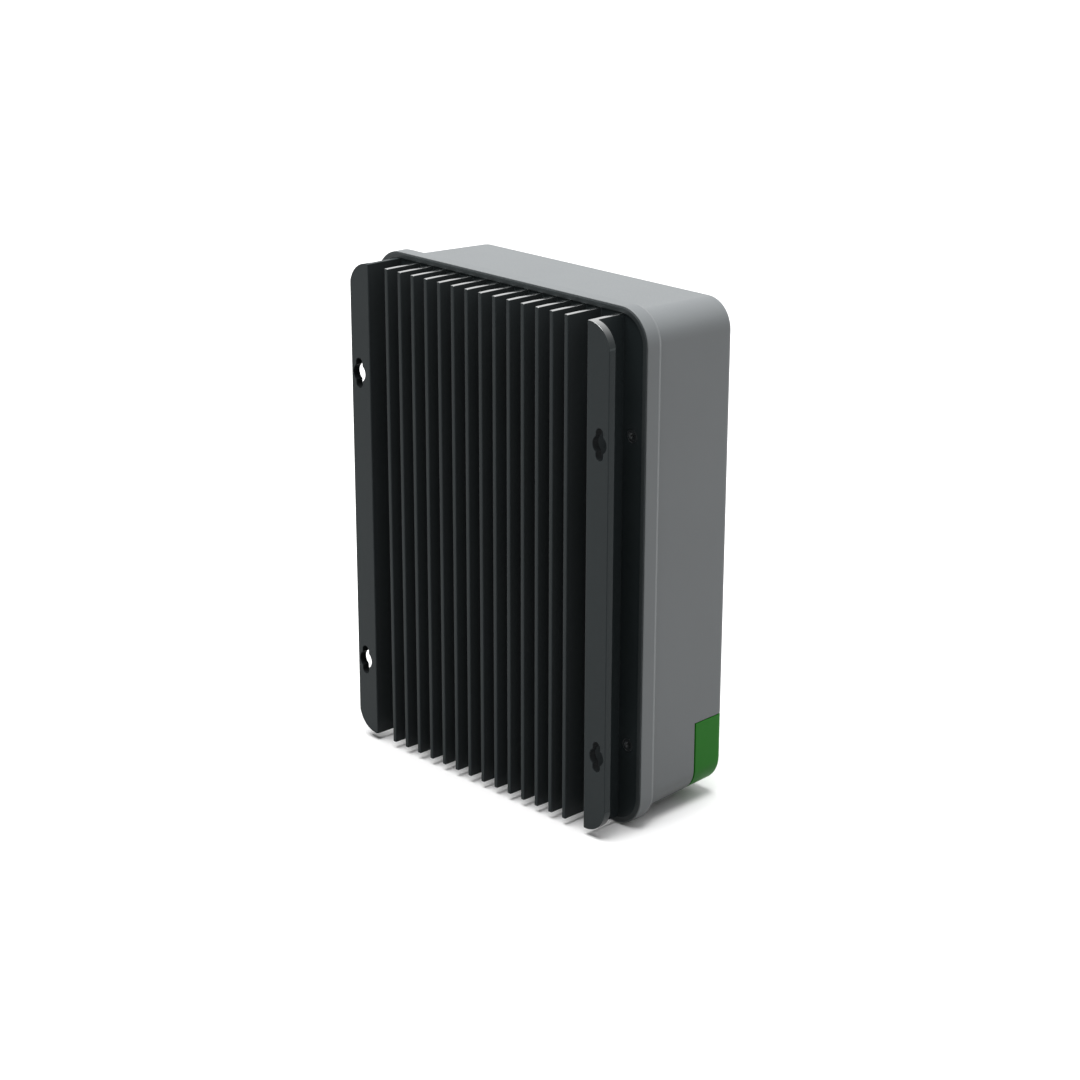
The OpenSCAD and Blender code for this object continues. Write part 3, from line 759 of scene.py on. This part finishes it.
def cavity(start, wall, turn):
    """A building function for the space inside a shell, from a depth, with its front edge broken by turn."""
    straight, r = FRONT - FRONT_R, BODY_R - wall
    rings = [(start, body_ring(BAND_FRONT, wall, r)), (straight, body_ring(straight, wall, r)),
             (FRONT - wall, body_ring(straight, wall + turn, 10))]
    return lambda bm: loft(bm, rings)


def bay(top, back):
    """A building function for the terminal bay's space, which reaches well past the housing's other sides."""
    return lambda bm: block(bm, -200, 200, -300, top, back, FRONT + 20)


def on_bay(p):
    """On the edges where the bay's rear and upper walls meet the outside."""
    at_back = abs(-p.y - BAY_BACK) < NEAR and p.z < BAY_TOP - NEAR
    at_top = abs(p.z - BAY_TOP) < NEAR and -p.y > BAY_BACK + NEAR
    return at_back or at_top


def build_front_cuts(bm):
    """The window's rebate and the holes for the keys and the lights."""
    prism(bm, window_outline(-WINDOW_GAP, 0.6), FRONT - WINDOW_T, FRONT + 2)
    for i in range(KEY_COUNT):
        x = (i - (KEY_COUNT - 1) / 2) * KEY_PITCH
        prism(bm, ring(x, KEY_Z, KEY_HOLE_R), FRONT - 5, FRONT + 2)
    for i in range(LIGHT_COUNT):
        x = (i - (LIGHT_COUNT - 1) / 2) * LIGHT_PITCH
        prism(bm, ring(x, LIGHT_Z, LIGHT_HOLE_R, 32), FRONT - 5, FRONT + 2)


def build_window_cut(bm):
    """The opening that the display is seen through."""
    prism(bm, window_outline(WINDOW_LAP, 1), FRONT - 5, FRONT + 2)


def build_under_cuts(bm):
    """The openings for the cables and both sockets in the underside, and the one for the terminal block."""
    below, above = -120, -101
    for i in range(1, POLE_COUNT + 1):
        x0, x1, _, _, back, _ = size(f"terminal_clamp_{i}")
        inner = back + CAGE_WALL
        block(bm, x0 + 0.8, x1 - 0.8, below, above, inner - CABLE_EDGE, inner + CABLE_HOLE + CABLE_EDGE)
    for socket, (mouth_w, mouth_d) in (("data_socket", DATA_MOUTH), ("sensor_socket", SENSOR_MOUTH)):
        x0, x1, _, _, back, front = size(socket)
        mid, half = (x0 + x1) / 2, mouth_w / 2 + CABLE_EDGE
        middle, reach = (back + front) / 2, mouth_d / 2 + CABLE_EDGE
        block(bm, mid - half, mid + half, below, above, middle - reach, middle + reach)
    z = sum(size("terminal_clamp_1")[2:4]) / 2
    block(bm, NOSE_X0 - PART_LINE, NOSE_X1 + PART_LINE, z - NOSE_HALF, z + NOSE_HALF,
          BAY_BACK - WALL - 1, BAY_BACK + 1)


def on_front_opening(p):
    """On the front edges of the window's rebate and of the round holes."""
    return -p.y > AT_FRONT and p.z > BAY_TOP + 2 and abs(p.x) < 60


def on_underside(p):
    """On the lower edges of the openings in the underside."""
    at_height = RIM_Z0 + 2.5 < p.z < SINK_Z0 + 1.4
    return at_height and BAND_FRONT + 1 < -p.y < BAY_BACK - 1 and abs(p.x) < 66


housing = cut(made(build_outer), bay(BAY_TOP, BAY_BACK))
soften(housing, on_bay, 0.4, 3)
inner = cut(made(cavity(LEDGE - 3, WALL, 0.4)), bay(BAY_TOP + WALL, BAY_BACK - WALL))
housing = combine(housing, inner, "DIFFERENCE")
housing = cut(cut(housing, build_front_cuts), build_window_cut)
soften(housing, on_front_opening, 0.25, 2)
housing = cut(housing, build_under_cuts)
soften(housing, on_underside, 0.35, 2)
cover_bosses = made(turned(COVER_SCREWS, [(COVER_POST_R, COVER_POST_BACK), (COVER_POST_R, BAY_BACK - 1.2)]))
plate_bosses = made(turned(KEYHOLES, [(PLATE_BOSS_R, LEDGE), (PLATE_BOSS_R, LEDGE + PLATE_BOSS_L)]))
housing = join([housing, cover_bosses, plate_bosses])
dress(housing, "housing_shell", "controller", "grey_plastic", ["housing"])


# Terminal cover: the lower front corner

def build_cover_outer(bm):
    """The housing's outer form without its band."""
    loft(bm, [(BAND_FRONT + 1, body_ring(BAND_FRONT + 1))] + front_turn())


def build_groove(bm):
    """The step round the cover's rear edge, which shows as a dark line."""
    low, high = BAY_BACK, BAY_BACK + PART_LINE + GROOVE_W
    outside = rounded(RIM_X0 - 5, RIM_X1 + 5, RIM_Z0 - 5, RIM_Z1 + 5, 5, 12)
    slab(bm, outside, low, high, 0.01, [body_ring(high, GROOVE_DEEP, 12.3)])


def on_cover(p):
    """On the cover's upper or rear edge, but not on the line where they meet."""
    at_back = abs(-p.y - BAY_BACK - PART_LINE - GROOVE_W) < NEAR
    at_top = abs(p.z - BAY_TOP + PART_LINE) < NEAR
    return at_back != at_top


def on_cover_bore(p):
    """On the front edges of the cover's two screw bores."""
    return -p.y > AT_FRONT and math.hypot(abs(p.x) - COVER_SCREW_X, p.z - COVER_SCREW_Z) < 4


cover = combine(made(build_cover_outer), made(bay(BAY_TOP - PART_LINE, BAY_BACK + PART_LINE)), "INTERSECT")
cover = cut(cover, build_groove)
soften(cover, on_cover, 0.25, 3)
cover = cut(cover, cavity(BAND_FRONT - 2, COVER_WALL, 0.7))
posts = made(turned(COVER_SCREWS, [(COVER_POST_R, BAY_BACK), (COVER_POST_R, FRONT - 1.1)]))
cover = combine(cover, posts, "UNION")
cover = cut(cover, turned(COVER_SCREWS, [
    (SHANK_R, BAY_BACK - 2), (SHANK_R, FRONT - COVER_HEAD_DEEP), (COVER_HEAD_R, FRONT - COVER_HEAD_DEEP),
    (COVER_HEAD_R, FRONT + 2)]))
soften(cover, on_cover_bore, 0.25, 2)
dress(cover, "cover_shell", "controller", "green_plastic", ["terminal_cover"])


# Screws with a cross recess

def cross(bm, cx, cz, low, high):
    """A cross that narrows from one depth to the other, used to cut with."""
    arm, half = 1.5, 0.38
    outline = [(half, -arm), (half, -half), (arm, -half), (arm, half), (half, half), (half, arm),
               (-half, arm), (-half, half), (-arm, half), (-arm, -half), (-half, -half), (-half, -arm)]
    rings = [(low, 1), (high, 0.8)]
    loft(bm, [(depth, [(cx + x * k, cz + z * k) for x, z in outline]) for depth, k in rings])


def screws(places, profile, recess):
    """Screws in one object, each turned to the profile and cut by a cross recess."""
    return cut(made(turned(places, profile)), lambda bm: [cross(bm, x, z, *recess) for x, z in places])


head = PLATE_BACK + 0.05
flat_heads = [(1.5, PLATE_BACK + 16), (1.5, head + HEAD_DEEP), (2.78, head + 0.1), (2.78, head + 0.04),
              (2.7, head)]
housing_screws = screws(KEYHOLES, flat_heads, (head - 1, head + 0.9))
dress(housing_screws, "housing_screw_set", "controller", "dark_steel", ["housing_screws"])
seat = FRONT - COVER_HEAD_DEEP
round_heads = [(1.5, seat - 25), (1.5, seat), (2.8, seat), (2.8, seat + 0.7), (2.62, seat + 1.25),
               (2.1, seat + 1.62), (1.4, seat + 1.8)]
cover_screws = screws(COVER_SCREWS, round_heads, (seat + 3, seat + 0.9))
dress(cover_screws, "cover_screw_set", "controller", "zinc_steel", ["cover_screws"])


# Front panel: window, keys and lights

def build_window(bm):
    """A pane whose faces are split along the inner line of its printed border."""
    back = FRONT - WINDOW_T
    outer = window_outline(0, 0.5)
    inner = window_outline(PRINT_W, 1)
    layers = levels(back, FRONT, 0.15, 2)
    sides = [[bm.verts.new(front_place(p, h)) for p in inset(outer, i)] for i, h in layers]
    for a, b in zip(sides, sides[1:]):
        bridge(bm, a, b)
    for side, depth in ((sides[0], back), (sides[-1], FRONT)):
        middle = [bm.verts.new(front_place(p, depth)) for p in inner]
        cap(bm, [side, middle])
        cap(bm, [middle])


def key_profile(low, high):
    """A foot behind the wall and a head with a rounded edge and a shallow dish."""
    return [(KEY_FOOT_R, low), (KEY_FOOT_R, low + 1), (KEY_R, low + 1), (KEY_R, high - 0.5),
            (5.35, high - 0.14), (5.0, high), (4.2, high - 0.06), (2.8, high - 0.22), (1.4, high - 0.31),
            (0, high - 0.34)]


def light_profile(low, high):
    """A pin with a domed front."""
    return [(LIGHT_R, low), (LIGHT_R, high - 0.45), (1.7, high - 0.25), (1.2, high - 0.08), (0, high)]


def turned_shell(node, name, body, slot, profile, steps):
    """A turned shell in the place of a node, to a profile from its least to its greatest depth."""
    x0, x1, z0, z1, low, high = size(node)
    shell = made(lambda bm: lathe(bm, (x0 + x1) / 2, (z0 + z1) / 2, profile(low, high), steps))
    dress(shell, name, body, slot, [node])


window = made(build_window)
dress(window, "window_pane", "controller", "window_clear", ["display_window"], PRINT)
for face in window.data.polygons:
    x, z = face.center.x / MM, face.center.z / MM
    clear = WIN_X0 + PRINT_W < x < WIN_X1 - PRINT_W and WIN_Z0 + PRINT_W < z < WIN_Z1 - PRINT_W
    face.material_index = 0 if clear else 1
for i in range(1, KEY_COUNT + 1):
    turned_shell(f"key_{i}", f"key_cap_{i}", f"key_body_{i}", "key_plastic", key_profile, 48)
for i in range(1, LIGHT_COUNT + 1):
    turned_shell(f"light_pipe_{i}", f"light_lens_{i}", "controller", "light_clear", light_profile, 32)


# Floor, light and camera

FLOOR_LIT = 0.24
FLOOR_MIRRORED = 0.75
FLOOR_SEEN = 0.92
WORLD_LIT = 0.22
WORLD_SEEN = 1.0
MIRROR_RAYS = ["Is Glossy Ray", "Is Transmission Ray"]


def on_path(tree, names):
    """1 for rays of the named kinds, else 0."""
    path = tree.nodes.new("ShaderNodeLightPath")
    value = path.outputs[names[0]]
    for name in names[1:]:
        value = math_node(tree, "MAXIMUM", value, path.outputs[name])
    return value


def floor():
    """A pale floor: nearly white where it is seen or mirrored, and plainer where it throws light back."""
    bm = bmesh.new()
    reach, thick = 6000, 5
    top = RIM_Z0 - 0.4
    outline = [(reach, top - thick), (reach, top), (-reach, top), (-reach, top - thick)]
    prism(bm, outline, -reach, reach)
    obj = finished(bm, "floor")
    m = bpy.data.materials.new("floor_pale")
    m.use_nodes = True
    tree = m.node_tree
    shader = tree.nodes["Principled BSDF"]
    shader.inputs["Roughness"].default_value = 0.9
    shader.inputs["Specular IOR Level"].default_value = 0.1
    tone = [FLOOR_LIT] * 3
    for rays, level in ((MIRROR_RAYS, FLOOR_MIRRORED), (["Is Camera Ray"], FLOOR_SEEN)):
        tone = mix_node(tree, on_path(tree, rays), tone, [level] * 3)
    tree.links.new(tone, shader.inputs["Base Color"])
    obj.data.materials.append(m)


def world():
    """A white surround, as bright as a white sheet where it is seen or mirrored, and weaker as a light."""
    w = bpy.data.worlds.new("studio")
    scene.world = w
    w.use_nodes = True
    tree = w.node_tree
    level = tree.nodes.new("ShaderNodeMapRange")
    level.inputs["To Min"].default_value = WORLD_LIT
    level.inputs["To Max"].default_value = WORLD_SEEN
    tree.links.new(on_path(tree, ["Is Camera Ray"] + MIRROR_RAYS), level.inputs["Value"])
    back = tree.nodes["Background"]
    back.inputs["Color"].default_value = (1, 1, 1, 1)
    tree.links.new(level.outputs["Result"], back.inputs["Strength"])


def lamp(name, toward, level, angle, mirrored=True):
    """A far, wide lamp that shines from a direction; level 1 shows a colour as it is written."""
    data = bpy.data.lights.new(name, "SUN")
    data.energy = math.pi * level
    data.angle = math.radians(angle)
    obj = bpy.data.objects.new(name, data)
    obj.rotation_mode = "QUATERNION"
    obj.rotation_quaternion = Vector(toward).to_track_quat("Z", "Y")
    obj.visible_glossy = mirrored
    scene.collection.objects.link(obj)


def camera():
    """The photograph's camera, as fitted to the points measured in it."""
    data = bpy.data.cameras.new("camera")
    data.lens = 81.872
    data.sensor_width = 36
    data.clip_end = 50
    obj = bpy.data.objects.new("camera", data)
    right = Vector((-0.68783, -0.72587, 0.00189))
    up = Vector((0.23833, -0.22338, 0.94515))
    back = Vector((-0.68563, 0.65055, 0.32664))
    turn = Matrix((right, up, back)).transposed().to_4x4()
    obj.matrix_world = Matrix.Translation((-0.7779, 0.69736, 0.37044)) @ turn
    scene.collection.objects.link(obj)
    scene.camera = obj


floor()
world()
camera()
lamp("top_light", (0.06, 0.12, 1), 1.4, 50)
lamp("front_light", (-0.12, -0.8, 0.55), 0.45, 60, mirrored=False)
scene.view_settings.view_transform = "Standard"
